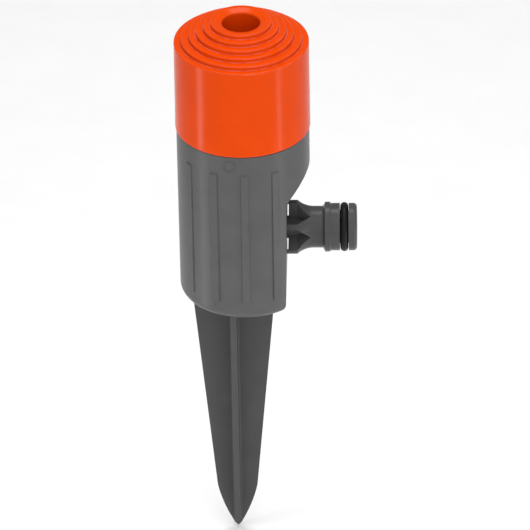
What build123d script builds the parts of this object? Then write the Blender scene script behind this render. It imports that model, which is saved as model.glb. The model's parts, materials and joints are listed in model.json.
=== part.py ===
"""Adjustable spray sprinkler on a ground spike, with a side hose connector.

Millimetres. +Z is up, +X points along the hose connector, and the origin lies where the
spike's axis crosses the casing's underside. The spray cap turns about its own axis, which
stands CAP_AXIS_X ahead of the spike's axis, and climbs as it is unscrewed.
"""
from build123d import *
import os
from math import radians, sin, tan

os.makedirs("parts", exist_ok=True)

# Places of the main axes and levels
CAP_AXIS_X = 4.2
CONNECTOR_Z = 24.7
SEAM_Z = 66.7
RIM_Z = 99.9
SPIKE_TIP_Z = -100.2

# Fits
SEAM_GAP = 0.3
SLIDE_GAP = 0.05

# Casing
CASING_R_TOP = 23.05
CASING_R_BOTTOM = 22.85
CASING_WALL = 2.0
CASING_FLOOR = 2.2
CASING_FOOT_ROUND = 4.0
CASING_INNER_CHAMFER = 2.5
FLAT_X_BOTTOM = 14.37
FLAT_X_TOP = 15.04
FLAT_TOP_Z = 44.14
SHOULDER_ROUND = 3.0
CASING_TOP_Z = SEAM_Z - SEAM_GAP
SHELF_Z = CASING_TOP_Z - 2.0
LEDGE_R = 15.5
NECK_R = 19.7
NECK_BORE_R = 17.2
NECK_TOP_Z = 92.7

# Grip ribs along the casing, counted from the side opposite the connector
GRIP_RIB_FIRST = 37.3
GRIP_RIB_STEP = 27.4
GRIP_RIBS_A_SIDE = 4
GRIP_RIB_WIDTH = 2.6
GRIP_RIB_R = 23.5
GRIP_RIB_Z = (7.0, 59.4)
GRIP_RIB_END_SLOPE = 0.6
GRIP_RIB_EDGE_ROUND = 0.35

# Plain ring moulded below the seam
MARK_ANGLE = -101
MARK_Z = 62.6
MARK_R = (2.15, 1.85)
MARK_FACE_R = 23.17

# Spray cap
CAP_R_RIM = 23.3
CAP_R_BOTTOM = 23.4
CAP_BORE_R = 21.2
CAP_BORE_TOP_Z = 96.8
CAP_EDGE_ROUND = 0.35
STEP_RADII = (21.0, 18.2, 15.7, 13.1, 10.6)
STEP_DRAFT = 0.1
STEP_RISE = 1.58
TOP_Z = RIM_Z + STEP_RISE * len(STEP_RADII)
DISH_R = 8.8
DISH_DEPTH = 0.8
THROAT_R = 6.55
THROAT_FLOOR_Z = 92.4
THROAT_LIP_ROUND = 0.7
SLEEVE_R = 10.0
SLEEVE_BORE_R = 8.0
SLEEVE_END_Z = 72.4
SLEEVE_ROOT_Z = 104.0

# Three-start thread between neck and cap
THREAD_LEAD = 12.0
THREAD_STARTS = 3
THREAD_HEIGHT = 1.2
NECK_THREAD_R = 20.9
NECK_THREAD_SPAN = 170
NECK_THREAD_Z = 79.0
CAP_THREAD_R = 20.1
CAP_THREAD_SPAN = 40
THREAD_SECTION_STEP = 10

# Nozzle stack carried by the cap, from the bottom up
STACK_R = SLEEVE_BORE_R - SLIDE_GAP
SLEEVE_NUT_TOP_Z = 75.4
SEAL_Z = (75.6, 78.4)
SPACER_Z = (78.6, 85.8)
SWIRL_TOP_Z = 88.4
ORIFICE_R = 2.1
ORIFICE_Z = (89.4, 90.6)

# Riser, its guide and the flow needle
RISER_R = 6.0
RISER_BORE_R = 4.2
RISER_Z = (36.4, 84.4)
RISER_FLANGE_R = 8.5
RISER_FLANGE_Z = (CASING_TOP_Z - 2.2, CASING_TOP_Z - 0.1)
RISER_MOUTH_R = 5.0
RISER_MOUTH_DEPTH = 2.5
GUIDE_Z = (CASING_TOP_Z, 69.4)
CLIP_RING_Z = (69.6, 70.6)
CLIP_GROOVE_R = 18.0
GUIDE_RIM_BORE_R = 14.8
GUIDE_HUB_R = 9.0
GUIDE_SPOKES = 6
NEEDLE_R = 1.75
NEEDLE_CONE_Z = (89.6, 92.9)

# O-ring on the neck
NECK_RING_Z = 74.5
NECK_RING_SECTION_R = 1.2
NECK_GROOVE_R = 18.7
NECK_GROOVE_HALF_HEIGHT = 1.4

# Inlet elbow
ELBOW_Z = (17.1, 42.5)
ELBOW_R = 7.0
ELBOW_BORE_R = 4.0
ELBOW_COLLAR_R = 9.0
ELBOW_COLLAR_Z = 34.5
SOCKET_R = 8.0
SOCKET_END_X = 12.6
END_PLUG_R = 5.0
END_PLUG_HEIGHT = 1.4
EAR_THICKNESS = 2.5
EAR_R = 3.2
EAR_REACH = 12.0
EAR_SCREW_R = 1.35
RISER_SEAL_Z = 39.25
RISER_SEAL_SECTION_R = 0.85
RISER_SEAL_GROOVE_Z = (38.2, 40.3)

# Hose connector: stations along its axis, counted from the cap's axis
SPIGOT_R = 6.0
SPIGOT_START_X = 4.8
SPIGOT_END_X = 14.7
SPIGOT_RING_GROOVE_X = (7.0, 9.3)
SPIGOT_RING_GROOVE_R = 4.2
SPIGOT_RING_SECTION_R = 0.9
CLIP_X = 11.5
CLIP_SLOT_X = (10.6, 12.4)
CLIP_SLOT_R = 4.5
CLIP_LEG_Y = 5.3
CLIP_WIRE_R = 0.7
HUB_R = 4.0
FIN_GAP = 0.6
FIN_TAB_GAP = 0.06
FIN_TAB_HEIGHT = 0.4
FIN_END_X = 18.5
FIN_R = 10.2
FIN_THICKNESS = 2.0
FIN_COUNT = 6
POCKET_END_X = 23.3
FLARE_MID = (8.05, 20.9)
NECK_START_X = 24.0
CONNECTOR_NECK_R = 7.3
NECK_END_X = 27.3
COLLAR_X = (28.1, 29.7)
COLLAR_R = 8.75
COLLAR_FRONT_SLOPE = 0.4
BARREL_R = 8.3
GROOVE_X = (33.2, 36.3)
GROOVE_R = 5.85
TIP_X = 39.2
TIP_ROUND = 1.3
INLET_BORE_R = 2.8
MOUTH_R = 5.0
MOUTH_START_X = 28.0
HOSE_RING_SECTION_R = 1.37
HOSE_RING_R = 8.6

# Filter basket in the connector's mouth
FILTER_END_R = 4.7
FILTER_END_X = (MOUTH_START_X + 0.6, MOUTH_START_X + 1.6)
FILTER_FLANGE_X = (TIP_X - 1.2, TIP_X - 0.2)
FILTER_FLANGE_BORE_R = 3.4
FILTER_BARS = 4
MESH_R = 3.85
MESH_THICKNESS = 0.35

# Ground spike
SPIKE_HALF_WIDTH = 14.6
SPIKE_SHOULDER = (7.05, -82.3)
SPIKE_OGIVE_MID = (4.28, -91.6)
SPIKE_FIN = 2.1
SPIKE_ROOT_ROUND = 0.7
PLUG_R = 6.5
PLUG_TOP_Z = 11.5
PLUG_SOCKET_R = 9.0
PLUG_SOCKET_TOP_Z = 13.7
PLUG_PILOT_R = 1.75
SPIKE_SCREW_R = 1.7

on_cap_axis = Pos(CAP_AXIS_X, 0, 0)
along_connector = Pos(0, 0, CONNECTOR_Z) * Rot(0, 90, 0)


def turned(*outline):
    """A solid of revolution about Z from (radius, height) points."""
    return revolve(Plane.XZ * make_face(Polyline(*outline, close=True)), Axis.Z)


def ring(outer, inner, low, high):
    return turned((inner, low), (outer, low), (outer, high), (inner, high))


def rod(radius, low, high):
    return Pos(0, 0, low) * Cylinder(radius, high - low, align=(Align.CENTER, Align.CENTER, Align.MIN))


def around(count, shape, first=0.0):
    """The shape repeated evenly around Z."""
    return [Rot(0, 0, first + 360 * turn / count) * shape for turn in range(count)]


def thread_rib(root, crest, start_z, start_angle, span):
    """One start of the thread: a tapered rib that climbs THREAD_LEAD in a full turn."""
    root_half = THREAD_HEIGHT / 2
    crest_half = THREAD_HEIGHT / 3
    outline = Polyline((root, -root_half), (crest, -crest_half), (crest, crest_half),
                       (root, root_half), close=True)
    section = Plane.XZ * make_face(outline)
    count = span // THREAD_SECTION_STEP
    angles = [THREAD_SECTION_STEP * number for number in range(count + 1)]
    sections = [
        Pos(0, 0, start_z + THREAD_LEAD * angle / 360) * Rot(0, 0, start_angle + angle) * section
        for angle in angles
    ]
    return loft(sections, ruled=True)


def thread(root, crest, start_z, span):
    step = 360 / THREAD_STARTS
    return [thread_rib(root, crest, start_z, step * start, span) for start in range(THREAD_STARTS)]


def flat_x(height):
    """Where the casing's drafted flat stands at a height, counted from the cap's axis."""
    return FLAT_X_BOTTOM + (FLAT_X_TOP - FLAT_X_BOTTOM) * height / FLAT_TOP_Z


def side_cut(inset, drop):
    """What is taken off a round body to leave the flat and the sloping shoulder above it."""
    shoulder_run = 12.0
    far = 40.0
    below = -10.0
    outline = Polyline(
        (flat_x(below), below),
        (FLAT_X_TOP, FLAT_TOP_Z),
        (FLAT_X_TOP + shoulder_run, FLAT_TOP_Z + shoulder_run),
        (far, FLAT_TOP_Z + shoulder_run),
        (far, below),
        close=True,
    )
    tool = extrude(Plane.XZ * make_face(outline), amount=far, both=True)
    return Pos(-inset, 0, drop) * tool


def beside_flat(gap):
    """Everything on the casing's side of a plane that runs parallel to the flat, gap away from it."""
    low, high = 0.0, FLAT_TOP_Z
    near = -10.0
    outline = Polyline((near, low), (flat_x(low) + gap, low), (flat_x(high) + gap, high), (near, high),
                       close=True)
    return extrude(Plane.XZ * make_face(outline), amount=30, both=True)


def make_grip_rib(angle):
    """A raised bar with sloping ends and eased edges, standing on the casing's wall."""
    low, high = GRIP_RIB_Z
    root = CASING_R_BOTTOM - 0.8
    slope = GRIP_RIB_END_SLOPE
    outline = Polyline((root, low), (GRIP_RIB_R, low + slope), (GRIP_RIB_R, high - slope),
                       (root, high + slope), close=True)
    bar = extrude(Plane.XZ * make_face(outline), amount=GRIP_RIB_WIDTH / 2, both=True)
    long_edges = bar.edges().filter_by(Axis.Z).group_by(Axis.X)[-1]
    return Rot(0, 0, 180 + angle) * fillet(long_edges, GRIP_RIB_EDGE_ROUND)


def make_casing():
    outer = turned((0, 0), (CASING_R_BOTTOM, 0), (CASING_R_TOP, CASING_TOP_Z), (0, CASING_TOP_Z))
    outer -= side_cut(0, 0)
    foot = outer.edges().group_by(Axis.Z)[0]
    outer = fillet(foot, CASING_FOOT_ROUND)
    shoulder = outer.edges().filter_by(Axis.Y).group_by(Axis.Z)[-1]
    outer = fillet(shoulder, SHOULDER_ROUND)
    inner_low = CASING_R_BOTTOM - CASING_WALL
    inner_high = CASING_R_TOP - CASING_WALL
    inner = turned((0, CASING_FLOOR), (inner_low - CASING_INNER_CHAMFER, CASING_FLOOR),
                   (inner_low, CASING_FLOOR + CASING_INNER_CHAMFER), (inner_high, SHELF_Z), (0, SHELF_Z))
    inner -= side_cut(CASING_WALL, 0.6)
    angles = [GRIP_RIB_FIRST + GRIP_RIB_STEP * number for number in range(GRIP_RIBS_A_SIDE)]
    ribs = [make_grip_rib(side * angle) for angle in angles for side in (-1, 1)]
    mark = Rot(0, 0, MARK_ANGLE) * Pos(0, 0, MARK_Z) * Rot(0, 90, 0) * ring(*MARK_R, 21.5, MARK_FACE_R)
    shell = outer + ribs + mark - inner
    shell += ring(NECK_R, NECK_BORE_R, SHELF_Z, NECK_TOP_Z)
    shell -= rod(LEDGE_R, SHELF_Z - 1, CASING_TOP_Z + 1)
    shell -= ring(NECK_BORE_R, 0, CASING_TOP_Z, NECK_TOP_Z + 1)
    shell -= ring(CLIP_GROOVE_R, NECK_BORE_R - 1, CLIP_RING_Z[0] - 0.1, CLIP_RING_Z[1] + 0.1)
    shell -= ring(NECK_R + 1, NECK_GROOVE_R, NECK_RING_Z - NECK_GROOVE_HALF_HEIGHT,
                  NECK_RING_Z + NECK_GROOVE_HALF_HEIGHT)
    shell += thread(NECK_R - 0.4, NECK_THREAD_R, NECK_THREAD_Z, NECK_THREAD_SPAN)
    shell -= along_connector * rod(SPIGOT_R + 0.2, 8, 20)
    shell = on_cap_axis * shell
    shell += rod(PLUG_SOCKET_R, 0, PLUG_SOCKET_TOP_Z)
    shell -= rod(PLUG_R + SLIDE_GAP, -1, PLUG_TOP_Z + 0.2)
    shell -= rod(1.9, 0, PLUG_SOCKET_TOP_Z + 1)
    for side in (-1, 1):
        post = Pos(CAP_AXIS_X, side * EAR_REACH, 0)
        shell += post * rod(EAR_R, CASING_FLOOR - 0.5, ELBOW_Z[0])
        shell -= post * rod(EAR_SCREW_R + SLIDE_GAP, 5, ELBOW_Z[0] + 1)
    return shell


def corners_at(face, places):
    """The face's corners that stand at the given (radius, height) places."""
    return [
        corner for corner in face.vertices()
        if any(abs(corner.X - r) < 0.01 and abs(corner.Y - z) < 0.01 for r, z in places)
    ]


def make_spray_cap():
    """Skirt, stepped top, spray throat and the sleeve that holds the nozzle stack."""
    outline = [(CAP_BORE_R, SEAM_Z), (CAP_R_BOTTOM, SEAM_Z), (CAP_R_RIM, RIM_Z)]
    level = RIM_Z
    for radius in STEP_RADII:
        outline += [(radius + STEP_DRAFT, level), (radius, level + STEP_RISE)]
        level += STEP_RISE
    outer_corners = [point for point in outline[1:] if point[0] in (CAP_R_BOTTOM, CAP_R_RIM, *STEP_RADII)]
    lip = (THROAT_R, TOP_Z - DISH_DEPTH)
    outline += [(DISH_R, TOP_Z), lip, (THROAT_R, THROAT_FLOOR_Z)]
    outline += [(SLEEVE_BORE_R, THROAT_FLOOR_Z), (SLEEVE_BORE_R, SLEEVE_END_Z), (SLEEVE_R, SLEEVE_END_Z)]
    outline += [(SLEEVE_R, SLEEVE_ROOT_Z), (CAP_BORE_R, CAP_BORE_TOP_Z)]
    face = make_face(Polyline(*outline, close=True))
    face = fillet(corners_at(face, outer_corners), CAP_EDGE_ROUND)
    face = fillet(corners_at(face, [lip]), THROAT_LIP_ROUND)
    cap = revolve(Plane.XZ * face, Axis.Z)
    cap += thread(CAP_BORE_R + 0.4, CAP_THREAD_R, NECK_THREAD_Z - 2.0, CAP_THREAD_SPAN)
    return on_cap_axis * cap


def make_nozzle_insert():
    """Spray orifice at the bottom of a shallow cone, over the swirl chamber."""
    low, high = SWIRL_TOP_Z, THROAT_FLOOR_Z
    body = turned((3.6, low), (STACK_R, low), (STACK_R, high), (5.6, high), (ORIFICE_R, ORIFICE_Z[1]),
                  (ORIFICE_R, ORIFICE_Z[0]), (3.6, ORIFICE_Z[0]))
    middle = (low + high) / 2
    return on_cap_axis * (body - ring(STACK_R + 1, 6.6, middle - 0.8, middle + 0.8))


def make_nozzle_o_ring():
    section = 0.65
    middle = (SWIRL_TOP_Z + THROAT_FLOOR_Z) / 2
    return on_cap_axis * Pos(0, 0, middle) * Torus(STACK_R - section, section)


def make_swirl_plate():
    """Four ports feed tangential slots that set the water spinning under the orifice."""
    low, high = SPACER_Z[1], SWIRL_TOP_Z
    plate = ring(STACK_R, ORIFICE_R, low, high)
    plate -= ring(3.6, 0, high - 1.0, high + 1)
    port = Pos(5.2, 0, 0) * rod(0.8, low - 1, high + 1)
    slot = Pos(3.0, 1.5, high - 0.5) * Rot(0, 0, -34) * Box(5.2, 1.1, 1.0)
    plate -= around(4, port)
    plate -= around(4, slot)
    return on_cap_axis * plate


def make_nozzle_spacer():
    return on_cap_axis * ring(STACK_R, RISER_R + 0.4, *SPACER_Z)


def make_sleeve_nut():
    """Ring nut with two spanner slots that closes the sleeve."""
    nut = ring(STACK_R, RISER_R + 0.3, SLEEVE_END_Z, SLEEVE_NUT_TOP_Z)
    slot = Pos(0, 0, SLEEVE_END_Z) * Box(20, 1.6, 1.6)
    return on_cap_axis * (nut - slot)


def make_sleeve_seal():
    """Lip seal that slides on the riser: its groove faces the water pressure."""
    low, high = SEAL_Z
    seal = ring(SLEEVE_BORE_R - SLIDE_GAP, RISER_R + SLIDE_GAP, low, high)
    groove = turned((6.5, high + 0.1), (7.0, high - 1.4), (7.5, high + 0.1))
    return on_cap_axis * (seal - groove)


def make_riser_tube():
    low, high = RISER_Z
    tube = ring(RISER_R, RISER_BORE_R, low, high)
    tube += ring(RISER_FLANGE_R, RISER_BORE_R, *RISER_FLANGE_Z)
    tube -= rod(RISER_MOUTH_R, high - RISER_MOUTH_DEPTH, high + 1)
    return on_cap_axis * tube


def make_flow_needle():
    """Needle on a three-legged spider that sits in the riser's mouth."""
    high = RISER_Z[1]
    low = high - RISER_MOUTH_DEPTH
    rim = ring(RISER_MOUTH_R - SLIDE_GAP, RISER_MOUTH_R - 1.0, low, high)
    leg = Pos(2.7, 0, (low + high) / 2) * Box(3.2, 1.2, high - low)
    point = turned((0, low), (NEEDLE_R, low), (NEEDLE_R, NEEDLE_CONE_Z[0]), (0.5, NEEDLE_CONE_Z[1]),
                   (0, NEEDLE_CONE_Z[1]))
    return on_cap_axis * (rim + point + around(3, leg))


def make_riser_guide():
    """Spoked disc on the casing's ledge that centres the riser and holds it down."""
    low, high = GUIDE_Z
    guide = ring(NECK_BORE_R - SLIDE_GAP, GUIDE_RIM_BORE_R, low, high)
    guide += ring(GUIDE_HUB_R, RISER_R + SLIDE_GAP, low, high)
    spoke = Pos((GUIDE_HUB_R + GUIDE_RIM_BORE_R) / 2, 0, (low + high) / 2) * Box(6.6, 2.2, high - low)
    return on_cap_axis * (guide + around(GUIDE_SPOKES, spoke))


def make_guide_clip_ring():
    """Split spring ring in the neck's groove, above the guide."""
    clip = ring(CLIP_GROOVE_R - SLIDE_GAP, 16.2, *CLIP_RING_Z)
    return on_cap_axis * (clip - Pos(-17, 0, CLIP_RING_Z[0]) * Box(6, 9, 4))


def make_neck_o_ring():
    outer = CAP_BORE_R - SLIDE_GAP
    return on_cap_axis * Pos(0, 0, NECK_RING_Z) * Torus(outer - NECK_RING_SECTION_R, NECK_RING_SECTION_R)


def make_inlet_elbow():
    """Turns the water from the connector's socket up into the riser."""
    low, high = ELBOW_Z
    body = rod(ELBOW_R, low, high) + rod(ELBOW_COLLAR_R, ELBOW_COLLAR_Z, high)
    body += along_connector * rod(SOCKET_R, 0, SOCKET_END_X)
    body += Pos(0, 0, low + EAR_THICKNESS / 2) * Box(2 * EAR_R, 2 * EAR_REACH, EAR_THICKNESS)
    for side in (-1, 1):
        body += Pos(0, side * EAR_REACH, 0) * rod(EAR_R, low, low + EAR_THICKNESS)
        body -= Pos(0, side * EAR_REACH, 0) * rod(EAR_SCREW_R + 0.25, low - 1, low + EAR_THICKNESS + 1)
    body -= rod(ELBOW_BORE_R, low - 1, high + 1)
    body -= rod(END_PLUG_R + SLIDE_GAP, low - 1, low + END_PLUG_HEIGHT + 0.1)
    body -= rod(RISER_R + SLIDE_GAP, RISER_Z[0] - 0.2, high + 1)
    body -= ring(RISER_R + SLIDE_GAP + 2 * RISER_SEAL_SECTION_R + SLIDE_GAP, 5, *RISER_SEAL_GROOVE_Z)
    body -= along_connector * rod(3.0, 0, SPIGOT_START_X + 1)
    body -= along_connector * rod(SPIGOT_R + SLIDE_GAP, SPIGOT_START_X - 0.1, SOCKET_END_X + 1)
    for side in (-1, 1):
        body -= Pos(CLIP_X, side * CLIP_LEG_Y, 0) * rod(CLIP_WIRE_R + 0.15, 14, 34)
    return on_cap_axis * body


def make_elbow_end_plug():
    return on_cap_axis * rod(END_PLUG_R, ELBOW_Z[0], ELBOW_Z[0] + END_PLUG_HEIGHT)


def make_screw(head_r, shank_r, length, head_height):
    """Pan-head screw with a cross recess; the head's seat is at z = 0."""
    head = rod(head_r, 0, head_height)
    head = fillet(head.edges().group_by(Axis.Z)[-1], head_height * 0.4)
    tip = turned((0, -length), (shank_r * 0.3, -length), (shank_r, -length + 2), (shank_r, 0), (0, 0))
    recess = Pos(0, 0, head_height) * (Box(head_r * 1.2, 0.7, 1.6) + Box(0.7, head_r * 1.2, 1.6))
    return head + tip - recess


def make_elbow_screws():
    screw = make_screw(2.8, EAR_SCREW_R, 11.0, 2.0)
    seat = ELBOW_Z[0] + EAR_THICKNESS
    return [Pos(CAP_AXIS_X, side * EAR_REACH, seat) * screw for side in (-1, 1)]


def make_spike_screw():
    return Pos(0, 0, PLUG_SOCKET_TOP_Z) * make_screw(3.4, SPIKE_SCREW_R, 11.5, 2.2)


def make_riser_seal():
    centre_r = RISER_R + SLIDE_GAP + RISER_SEAL_SECTION_R
    return on_cap_axis * Pos(0, 0, RISER_SEAL_Z) * Torus(centre_r, RISER_SEAL_SECTION_R)


def pocket_section(station, apex):
    """Triangle between two neighbouring fins of the connector, at one station of its axis."""
    reach = 16.0
    half = (reach - apex) * tan(radians(180 / FIN_COUNT))
    return Pos(0, 0, station) * make_face(Polyline((apex, 0), (reach, half), (reach, -half), close=True))


def make_connector_root():
    """Trumpet cut into fins by pockets that close towards the neck, with a small tab on each fin's end."""
    start = SPIGOT_END_X
    trumpet = make_face(
        Polyline((CONNECTOR_NECK_R, NECK_START_X), (0, NECK_START_X), (0, start), (FIN_R, start),
                 (FIN_R, FIN_END_X))
        + ThreePointArc((FIN_R, FIN_END_X), FLARE_MID, (CONNECTOR_NECK_R, NECK_START_X))
    )
    root = revolve(Plane.XZ * trumpet, Axis.Z)
    apex = FIN_THICKNESS / 2 / sin(radians(180 / FIN_COUNT))
    straight = loft([pocket_section(start - 1, apex), pocket_section(FIN_END_X, apex)], ruled=True)
    closing = loft([pocket_section(FIN_END_X, apex), pocket_section(POCKET_END_X, CONNECTOR_NECK_R + 0.2)],
                   ruled=True)
    root -= around(FIN_COUNT, straight, 180 / FIN_COUNT)
    root -= around(FIN_COUNT, closing, 180 / FIN_COUNT)
    inside_tabs = along_connector * rod(FIN_R - FIN_TAB_HEIGHT, start - 1, FIN_END_X)
    root = along_connector * root
    root -= beside_flat(FIN_GAP) & inside_tabs
    return root - beside_flat(FIN_TAB_GAP)


def make_hose_connector():
    """Spigot with its grooves, finned root, and the stub that a quick coupling clicks onto."""
    slope_end_x = COLLAR_X[1] + COLLAR_FRONT_SLOPE
    outline = Polyline(
        (0, NECK_START_X - 1), (CONNECTOR_NECK_R, NECK_START_X - 1), (CONNECTOR_NECK_R, NECK_END_X),
        (COLLAR_R, COLLAR_X[0]), (COLLAR_R, COLLAR_X[1]), (BARREL_R, slope_end_x), (BARREL_R, GROOVE_X[0]),
        (GROOVE_R, GROOVE_X[0]), (GROOVE_R, GROOVE_X[1]), (BARREL_R, GROOVE_X[1]), (BARREL_R, TIP_X),
        (0, TIP_X), close=True,
    )
    profile = make_face(outline)
    profile = fillet(corners_at(profile, [(BARREL_R, TIP_X)]), TIP_ROUND)
    stub = revolve(Plane.XZ * profile, Axis.Z)
    spigot = rod(SPIGOT_R, SPIGOT_START_X, SPIGOT_END_X)
    spigot -= ring(SPIGOT_R + 1, SPIGOT_RING_GROOVE_R, *SPIGOT_RING_GROOVE_X)
    spigot -= ring(SPIGOT_R + 1, CLIP_SLOT_R, *CLIP_SLOT_X)
    hub = rod(HUB_R, SPIGOT_END_X - 1, NECK_START_X)
    bore = rod(INLET_BORE_R, SPIGOT_START_X - 1, MOUTH_START_X + 1) + rod(MOUTH_R, MOUTH_START_X, TIP_X + 1)
    body = along_connector * (stub + spigot + hub) + make_connector_root()
    return on_cap_axis * (body - along_connector * bore)


def make_connector_o_ring():
    middle = (GROOVE_X[0] + GROOVE_X[1]) / 2
    centre_r = HOSE_RING_R - HOSE_RING_SECTION_R
    return on_cap_axis * along_connector * Pos(0, 0, middle) * Torus(centre_r, HOSE_RING_SECTION_R)


def make_spigot_o_ring():
    middle = sum(SPIGOT_RING_GROOVE_X) / 2
    centre_r = SPIGOT_R - SPIGOT_RING_SECTION_R
    return on_cap_axis * along_connector * Pos(0, 0, middle) * Torus(centre_r, SPIGOT_RING_SECTION_R)


def make_connector_clip():
    """Bent wire whose legs drop through the socket into the spigot's groove."""
    bend_z = CONNECTOR_Z + 9.0
    foot_z = CONNECTOR_Z - 6.5
    left_foot, left_bend = (CLIP_X, -CLIP_LEG_Y, foot_z), (CLIP_X, -CLIP_LEG_Y, bend_z)
    right_foot, right_bend = (CLIP_X, CLIP_LEG_Y, foot_z), (CLIP_X, CLIP_LEG_Y, bend_z)
    path = Polyline(left_foot, left_bend)
    path += ThreePointArc(left_bend, (CLIP_X, 0, bend_z + CLIP_LEG_Y), right_bend)
    path += Line(right_bend, right_foot)
    return on_cap_axis * sweep(Pos(*left_foot) * Circle(CLIP_WIRE_R), path=path)


def make_filter_frame():
    """Basket in the connector's mouth: flange, four bars and a closed end."""
    flange = ring(MOUTH_R - SLIDE_GAP, FILTER_FLANGE_BORE_R, *FILTER_FLANGE_X)
    end = rod(FILTER_END_R, *FILTER_END_X)
    bar_low, bar_high = FILTER_END_X[0] + 0.5, FILTER_FLANGE_X[1] - 0.5
    bar = Pos(MESH_R + 0.45, 0, (bar_low + bar_high) / 2) * Box(0.8, 1.0, bar_high - bar_low)
    return on_cap_axis * along_connector * (flange + end + around(FILTER_BARS, bar, 45))


def make_filter_mesh():
    sleeve = ring(MESH_R, MESH_R - MESH_THICKNESS, FILTER_END_X[1], FILTER_FLANGE_X[0])
    return on_cap_axis * along_connector * sleeve


def make_ground_spike():
    """Four tapering fins with a pointed end, under a round plug that fits the casing."""
    half = SPIKE_FIN / 2
    span = 2 * SPIKE_HALF_WIDTH
    length = -SPIKE_TIP_Z
    cross = Box(span, SPIKE_FIN, length, align=(Align.CENTER, Align.CENTER, Align.MAX))
    cross += Box(SPIKE_FIN, span, length, align=(Align.CENTER, Align.CENTER, Align.MAX))
    inner_edges = [
        edge for edge in cross.edges().filter_by(Axis.Z)
        if abs(abs(edge.center().X) - half) < 0.01 and abs(abs(edge.center().Y) - half) < 0.01
    ]
    cross = fillet(inner_edges, SPIKE_ROOT_ROUND)
    right = Line((SPIKE_HALF_WIDTH, 0), SPIKE_SHOULDER) + ThreePointArc(
        SPIKE_SHOULDER, SPIKE_OGIVE_MID, (0, SPIKE_TIP_Z)
    )
    outline = make_face(right + Line((0, SPIKE_TIP_Z), (0, 0)) + Line((0, 0), (SPIKE_HALF_WIDTH, 0)))
    outline += mirror(outline, Plane.YZ)
    envelope = extrude(Plane.XZ * outline, amount=span, both=True)
    spike = cross & envelope & (Rot(0, 0, 90) * envelope)
    plug = rod(PLUG_R, -0.5, PLUG_TOP_Z)
    plug = fillet(plug.edges().group_by(Axis.Z)[-1], 0.8)
    spike += plug & Box(40, 40, 40, align=(Align.CENTER, Align.CENTER, Align.MIN))
    return spike - rod(PLUG_PILOT_R, 1, PLUG_TOP_Z + 1)


PIECES = {
    "casing": make_casing,
    "ground_spike": make_ground_spike,
    "spike_screw": make_spike_screw,
    "hose_connector": make_hose_connector,
    "connector_o_ring": make_connector_o_ring,
    "spigot_o_ring": make_spigot_o_ring,
    "connector_clip": make_connector_clip,
    "filter_frame": make_filter_frame,
    "filter_mesh": make_filter_mesh,
    "inlet_elbow": make_inlet_elbow,
    "elbow_end_plug": make_elbow_end_plug,
    "elbow_screws": make_elbow_screws,
    "riser_tube": make_riser_tube,
    "riser_seal": make_riser_seal,
    "riser_guide": make_riser_guide,
    "guide_clip_ring": make_guide_clip_ring,
    "flow_needle": make_flow_needle,
    "neck_o_ring": make_neck_o_ring,
    "spray_cap": make_spray_cap,
    "nozzle_insert": make_nozzle_insert,
    "nozzle_o_ring": make_nozzle_o_ring,
    "swirl_plate": make_swirl_plate,
    "nozzle_spacer": make_nozzle_spacer,
    "sleeve_nut": make_sleeve_nut,
    "sleeve_seal": make_sleeve_seal,
}

for name, make in PIECES.items():
    piece = make()
    if isinstance(piece, list):
        piece = Compound(children=piece)
    export_step(piece, f"parts/{name}.step")
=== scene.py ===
"""Looks of the spike sprinkler: materials, a pale floor, soft studio light and the camera.

Lengths are in metres, light powers in watts, and angles in degrees unless a name says otherwise.
"""
import json
import math

import bpy
from mathutils import Matrix, Vector


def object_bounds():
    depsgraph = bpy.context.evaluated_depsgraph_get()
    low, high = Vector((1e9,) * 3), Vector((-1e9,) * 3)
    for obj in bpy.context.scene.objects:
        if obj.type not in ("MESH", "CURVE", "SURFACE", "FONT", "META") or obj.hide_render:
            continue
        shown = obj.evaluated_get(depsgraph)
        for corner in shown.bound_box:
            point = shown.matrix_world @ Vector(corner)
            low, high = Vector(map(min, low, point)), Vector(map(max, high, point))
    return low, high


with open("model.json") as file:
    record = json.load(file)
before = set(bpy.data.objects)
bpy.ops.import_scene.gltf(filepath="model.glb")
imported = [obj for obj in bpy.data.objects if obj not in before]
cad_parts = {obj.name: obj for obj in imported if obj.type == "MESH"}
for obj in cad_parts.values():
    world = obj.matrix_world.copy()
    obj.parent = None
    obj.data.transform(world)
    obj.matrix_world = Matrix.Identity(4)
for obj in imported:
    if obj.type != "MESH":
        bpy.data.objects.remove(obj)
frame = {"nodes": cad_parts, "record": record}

cad_low, cad_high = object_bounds()
middle = (cad_low + cad_high) / 2
scene = bpy.context.scene


# ---- node-tree helpers -------------------------------------------------------------------------

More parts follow.
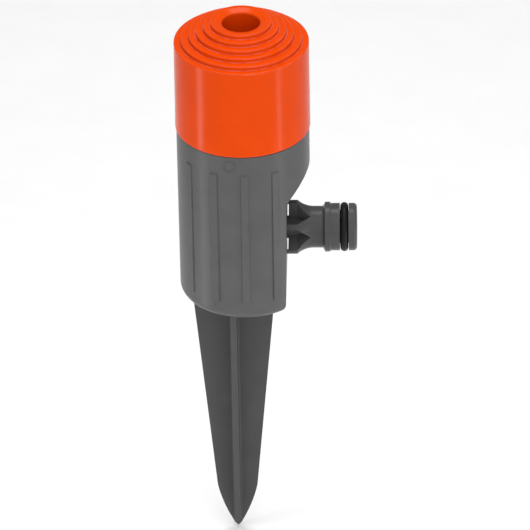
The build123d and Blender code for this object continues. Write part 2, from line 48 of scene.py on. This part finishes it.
class Tree:
    """A material with one Principled shader, and short names for the nodes that feed it."""

    def __init__(self, name):
        self.material = bpy.data.materials.new(name)
        self.material.use_nodes = True
        self.tree = self.material.node_tree
        self.tree.nodes.clear()
        output = self.add("ShaderNodeOutputMaterial")
        self.shader = self.add("ShaderNodeBsdfPrincipled")
        self.link(self.shader.outputs["BSDF"], output.inputs["Surface"])
        self.coords = self.add("ShaderNodeTexCoord").outputs["Object"]

    def add(self, kind, **settings):
        node = self.tree.nodes.new(kind)
        for key, value in settings.items():
            setattr(node, key, value)
        return node

    def link(self, source, target):
        self.tree.links.new(source, target)

    def feed(self, **sources):
        """Drive the shader's inputs from other nodes: base_color feeds Base Color, and so on."""
        for name, source in sources.items():
            self.link(source, self.shader.inputs[name.replace("_", " ").title()])

    def noise(self, size, detail=3.0, roughness=0.5, stretch=None):
        """Noise whose blobs are about size across."""
        node = self.add("ShaderNodeTexNoise")
        node.inputs["Scale"].default_value = 1.0 / size
        node.inputs["Detail"].default_value = detail
        node.inputs["Roughness"].default_value = roughness
        source = self.coords
        if stretch:
            mapping = self.add("ShaderNodeMapping")
            mapping.inputs["Scale"].default_value = stretch
            self.link(source, mapping.inputs["Vector"])
            source = mapping.outputs["Vector"]
        self.link(source, node.inputs["Vector"])
        return node.outputs["Fac"]

    def spread(self, value, low, high, start=0.3, end=0.7):
        """value, from start to end, taken to low to high. Noise stays mostly between 0.3 and 0.7."""
        node = self.add("ShaderNodeMapRange")
        self.link(value, node.inputs["Value"])
        for name, number in (("From Min", start), ("From Max", end), ("To Min", low), ("To Max", high)):
            node.inputs[name].default_value = number
        return node.outputs["Result"]

    def combine(self, operation, a, b):
        """The math node's result for a, a socket, and b, a socket or a number."""
        node = self.add("ShaderNodeMath", operation=operation)
        self.link(a, node.inputs[0])
        if isinstance(b, float):
            node.inputs[1].default_value = b
        else:
            self.link(b, node.inputs[1])
        return node.outputs["Value"]

    def blend(self, factor, a, b):
        """Colour a where factor is 0 and b where it is 1."""
        node = self.add("ShaderNodeMix", data_type="RGBA")
        self.link(factor, node.inputs["Factor"])
        for socket, value in ((node.inputs["A"], a), (node.inputs["B"], b)):
            if isinstance(value, tuple):
                socket.default_value = (*value, 1.0)
            else:
                self.link(value, socket)
        return node.outputs["Result"]

    def edges(self, radius):
        """1 on sharp outer and inner edges and 0 on open faces."""
        bevel = self.add("ShaderNodeBevel", samples=6)
        bevel.inputs["Radius"].default_value = radius
        plain = self.add("ShaderNodeNewGeometry")
        dot = self.add("ShaderNodeVectorMath", operation="DOT_PRODUCT")
        self.link(bevel.outputs["Normal"], dot.inputs[0])
        self.link(plain.outputs["Normal"], dot.inputs[1])
        return self.spread(dot.outputs["Value"], 1.0, 0.0, start=0.80, end=0.995)

    def bump(self, height, distance, after=None):
        """Normals for height, a noise, at distance deep, on top of the normals after."""
        node = self.add("ShaderNodeBump")
        node.inputs["Distance"].default_value = distance
        self.link(height, node.inputs["Height"])
        if after is not None:
            self.link(after, node.inputs["Normal"])
        return node.outputs["Normal"]


def scaled(colour, factor):
    return tuple(part * factor for part in colour)


# ---- materials ---------------------------------------------------------------------------------

FLOW_SIZE = 0.011               # cloudy flow marks in moulded plastic
FLOW_ROUGHNESS = 0.035          # how far they move the roughness each way
SPECKLE_SIZE = 0.0011
SPECKLE_ROUGHNESS = 0.03
RUB_AND_HIGHLIGHT_SIZE = 0.0032               # patches in which the paler edges (rubbed wear, and the cap's painted highlight) are stronger or weaker
SINK_SIZE = 0.006               # slow waviness of a moulded wall, longer along Z
SINK_DEPTH = 0.00004
SINK_STRETCH = (1.0, 1.0, 0.35)


def moulded(name, colour, roughness, grain, grain_depth, specular=0.5, tone=0.06, wear_and_highlight=0.25, pale=0.04,
            edge=0.00035):
    """Injection-moulded plastic with spark-eroded grain, faint flow marks and paler edges: rubbed wear,
    and a painted highlight where the paling is strong.

    grain and grain_depth are the size and depth of the grain. tone is how far the flow marks
    lighten and darken the colour. wear_and_highlight is how strongly each edge is paled, as rubbed
    wear and, on the cap, as a painted highlight. pale is how far towards white the paling goes, and
    edge is how wide it is.
    """
    t = Tree(name)
    flow = t.noise(FLOW_SIZE, detail=4.0)
    speckle = t.noise(SPECKLE_SIZE, detail=2.0)
    base = t.blend(t.spread(flow, 0.0, 1.0), scaled(colour, 1.0 - tone), scaled(colour, 1.0 + tone))
    patches = t.spread(t.noise(RUB_AND_HIGHLIGHT_SIZE, detail=4.0), 0.2, 1.0, start=0.35, end=0.62)
    # paler edges: rubbed wear, and where the paling is strong (the cap) a painted highlight
    rub_and_highlight = t.combine("MULTIPLY", t.combine("MULTIPLY", t.edges(edge), patches), wear_and_highlight)
    rubbed_and_highlit = tuple(part + (1.0 - part) * pale for part in colour)
    rough = t.combine("ADD", t.spread(flow, roughness - FLOW_ROUGHNESS, roughness + FLOW_ROUGHNESS),
                      t.spread(speckle, -SPECKLE_ROUGHNESS, SPECKLE_ROUGHNESS))
    grained = t.bump(t.noise(grain, detail=2.0, roughness=0.6), grain_depth)
    sunk = t.bump(t.noise(SINK_SIZE, detail=2.0, stretch=SINK_STRETCH), SINK_DEPTH, after=grained)
    t.feed(base_color=t.blend(rub_and_highlight, base, rubbed_and_highlit), roughness=rough, normal=sunk)
    t.shader.inputs["Specular IOR Level"].default_value = specular
    return t.material


def rubber(name, colour, roughness):
    """Black sealing rubber with a dry bloom."""
    t = Tree(name)
    bloom = t.noise(0.0016, detail=4.0)
    t.feed(base_color=t.blend(t.spread(bloom, 0.0, 1.0), colour, scaled(colour, 1.9)),
           roughness=t.spread(bloom, roughness - 0.06, roughness + 0.08),
           normal=t.bump(t.noise(0.0003, detail=3.0), 0.00001))
    t.shader.inputs["Specular IOR Level"].default_value = 0.12
    return t.material


def stainless(name, colour, roughness):
    """Drawn stainless steel with fine marks round the Z axis."""
    t = Tree(name)
    marks = t.noise(0.0009, detail=3.0, stretch=(1.0, 1.0, 9.0))
    t.feed(base_color=t.blend(t.spread(marks, 0.0, 1.0), scaled(colour, 0.86), colour),
           roughness=t.spread(marks, roughness - 0.06, roughness + 0.08),
           normal=t.bump(marks, 0.000012))
    t.shader.inputs["Metallic"].default_value = 1.0
    return t.material


MATERIALS = {
    "casing_plastic": moulded("casing_plastic_look", (0.097, 0.097, 0.0972), 0.32,
                              grain=0.00028, grain_depth=0.000010, specular=0.07),
    "spike_plastic": moulded("spike_plastic_look", (0.073, 0.073, 0.0732), 0.42,
                             grain=0.00032, grain_depth=0.000012, specular=0.10),
    "connector_plastic": moulded("connector_plastic_look", (0.071, 0.071, 0.0712), 0.22,
                                 grain=0.00030, grain_depth=0.000005, specular=0.08),
    # the cap's strong, wide edge paling is a painted highlight along the step nosings, standing in for
    # light caught by their rounds
    "cap_plastic": moulded("cap_plastic_look", (0.70, 0.057, 0.0006), 0.20,
                           grain=0.00030, grain_depth=0.000003, specular=0.07,
                           tone=0.03, wear_and_highlight=1.0, pale=0.26, edge=0.0006),
    "inner_plastic": moulded("inner_plastic_look", (0.035, 0.036, 0.038), 0.48,
                             grain=0.00030, grain_depth=0.000010),
    "seal_rubber": rubber("seal_rubber_look", (0.006, 0.006, 0.006), 0.42),
    "steel": stainless("steel_look", (0.56, 0.57, 0.58), 0.30),
}

for row in frame["record"]["subparts"]:
    for slot in frame["nodes"][row["node"]].material_slots:
        slot.material = MATERIALS[row["material_slot"]]


# ---- floor and light ---------------------------------------------------------------------------

FLOOR_SIDE = 8.0
FLOOR_DROP = 0.0002             # keeps the floor just clear of the spike's point
SKY_STRENGTH = 0.24

half_side = FLOOR_SIDE / 2
floor_z = cad_low.z - FLOOR_DROP
corners = [(x * half_side, y * half_side, floor_z) for x, y in ((-1, -1), (1, -1), (1, 1), (-1, 1))]
floor_mesh = bpy.data.meshes.new("floor")
floor_mesh.from_pydata(corners, [], [(0, 1, 2, 3)])
floor = bpy.data.objects.new("floor", floor_mesh)
scene.collection.objects.link(floor)

paper = Tree("floor_paper")
mottle = paper.spread(paper.noise(0.02, detail=3.0), 0.0, 1.0)
paper.feed(base_color=paper.blend(mottle, (0.93, 0.93, 0.93), (0.95, 0.95, 0.95)))
paper.shader.inputs["Roughness"].default_value = 0.9
paper.shader.inputs["Specular IOR Level"].default_value = 0.1
floor_mesh.materials.append(paper.material)

world = bpy.data.worlds.new("studio")
scene.world = world
world.use_nodes = True
sky = world.node_tree.nodes["Background"]
sky.inputs["Color"].default_value = (1.0, 1.0, 1.0, 1.0)
sky.inputs["Strength"].default_value = SKY_STRENGTH


def away(azimuth, elevation):
    """Unit vector from the part. Azimuth 0 is the side the camera is on, and 90 is to its right."""
    a, e = math.radians(azimuth), math.radians(elevation)
    return Vector((math.sin(a) * math.cos(e), -math.cos(a) * math.cos(e), math.sin(e)))


def softbox(name, azimuth, elevation, distance, width, height, power):
    """A rectangular soft light that looks at the part's middle and isn't seen itself."""
    lamp = bpy.data.lights.new(name, "AREA")
    lamp.shape = "RECTANGLE"
    lamp.size = width
    lamp.size_y = height
    lamp.energy = power
    holder = bpy.data.objects.new(name, lamp)
    outward = away(azimuth, elevation)
    holder.location = middle + outward * distance
    holder.rotation_mode = "QUATERNION"
    holder.rotation_quaternion = (-outward).to_track_quat("-Z", "Y")
    holder.visible_camera = False
    scene.collection.objects.link(holder)


# the two strips draw the upright streaks on the cap and casing
softbox("left_strip", -71.0, -12.0, 0.16, width=0.024, height=0.13, power=0.088)
softbox("right_strip", 62.0, -12.0, 0.16, width=0.020, height=0.13, power=0.062)
softbox("top_back", 180.0, 66.0, 1.0, width=0.36, height=0.34, power=3.2)
softbox("overhead", 0.0, 84.0, 1.0, width=1.10, height=1.10, power=7.4)
softbox("front_key", 8.0, 27.0, 1.2, width=1.40, height=1.00, power=6.3)
softbox("right_side", 38.0, 8.0, 1.0, width=0.30, height=0.40, power=1.2)
softbox("left_side", -60.0, 14.0, 1.0, width=0.30, height=0.45, power=0.3)


# ---- camera ------------------------------------------------------------------------------------

CAMERA_AZIMUTH = 1.7
CAMERA_ELEVATION = 31.28
CAMERA_ROLL_RADIANS = 0.0189
CAMERA_DISTANCE = 2.6
LENS_MM = 507.4
SENSOR_MM = 36.0
TARGET = Vector((0.0042, 0.0, 0.0367))      # on the cap's axis; the camera's place is set from it
AIM_RIGHT = 0.007247                        # the point looked at, right of the target in the picture
AIM_UP = -0.0235                            # and above it

back = away(CAMERA_AZIMUTH, CAMERA_ELEVATION)
azimuth_radians = math.radians(CAMERA_AZIMUTH)
level_right = Vector((math.cos(azimuth_radians), math.sin(azimuth_radians), 0.0))
level_up = back.cross(level_right)
roll_cos, roll_sin = math.cos(CAMERA_ROLL_RADIANS), math.sin(CAMERA_ROLL_RADIANS)
rolled_right = level_right * roll_cos - level_up * roll_sin
rolled_up = level_right * roll_sin + level_up * roll_cos
place = TARGET + back * CAMERA_DISTANCE
forward = (TARGET + rolled_right * AIM_RIGHT + rolled_up * AIM_UP - place).normalized()
camera_up = (rolled_up - forward * rolled_up.dot(forward)).normalized()
camera_right = forward.cross(camera_up)

camera_data = bpy.data.cameras.new("camera")
camera_data.lens = LENS_MM
camera_data.sensor_width = SENSOR_MM
camera_data.clip_start = 0.1
camera_data.clip_end = 50.0
camera = bpy.data.objects.new("camera", camera_data)
scene.collection.objects.link(camera)
turn = Matrix((camera_right, camera_up, -forward)).transposed().to_4x4()
camera.matrix_world = Matrix.Translation(place) @ turn
scene.camera = camera
scene.view_settings.view_transform = "Standard"
